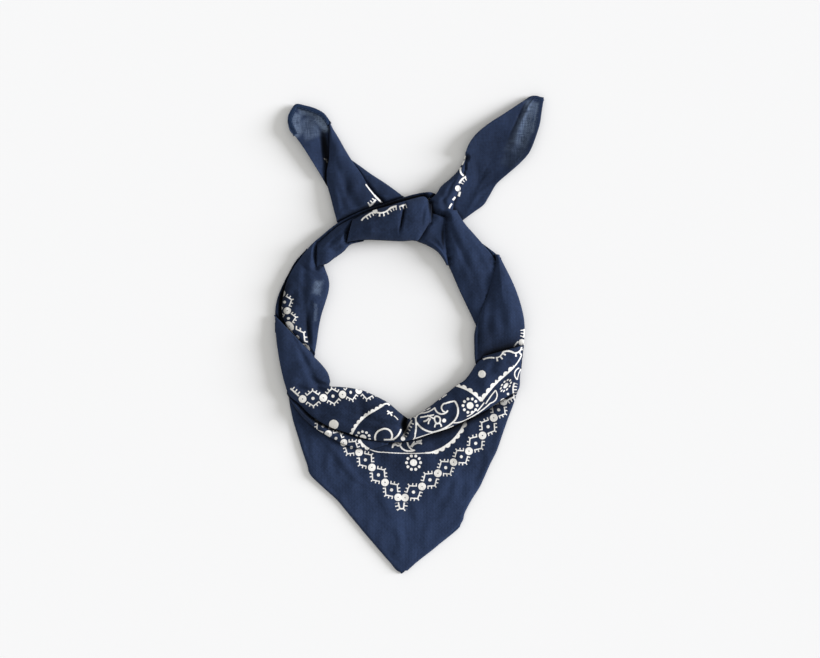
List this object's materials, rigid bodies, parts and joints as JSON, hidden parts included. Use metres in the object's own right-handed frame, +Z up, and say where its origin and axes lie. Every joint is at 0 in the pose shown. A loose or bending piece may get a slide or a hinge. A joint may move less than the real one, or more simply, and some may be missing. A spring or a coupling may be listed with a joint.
{
  "type": "bandana",
  "caption": "Square cotton neckerchief folded corner to corner, rolled along the fold, knotted behind the neck and laid flat with its point forward.",
  "frame": {"origin": "on the table, under the middle of the whole bandana's box", "axes": "+Z up from the table, +Y from the point towards the knot and the tails, +X to the right as seen from above with the point nearest"},
  "size_m": [0.2031, 0.361, 0.0191],
  "materials": {
    "printed_cotton": "plain-woven cotton dyed navy, with an off-white discharge print of dots, rings and leaves, matt",
    "cotton_wrong_side": "the wrong side of the same cotton, one sheer layer, paler and greyer than the printed side",
    "hemmed_cotton": "narrow rolled and stitched hem of the same navy cotton"
  },
  "bodies": {
    "root": {"knot_band": "printed_cotton", "knot_fold": "printed_cotton", "front_roll": "printed_cotton", "front_pleat": "printed_cotton", "point_front": "printed_cotton", "point_back": "printed_cotton", "point_left_hem": "hemmed_cotton", "point_right_hem": "hemmed_cotton", "right_lower": "printed_cotton", "right_upper": "printed_cotton", "right_back_hem": "hemmed_cotton", "left_turn": "printed_cotton", "left_shoulder": "printed_cotton", "left_underlayer": "printed_cotton", "left_tail_flap": "printed_cotton", "left_tail_rear": "printed_cotton", "left_tail_leaf": "cotton_wrong_side", "left_tail_hem": "hemmed_cotton", "right_tail_fold": "printed_cotton", "right_tail_leaf": "printed_cotton", "right_tail_hem": "hemmed_cotton"}
  },
  "joints": []
}
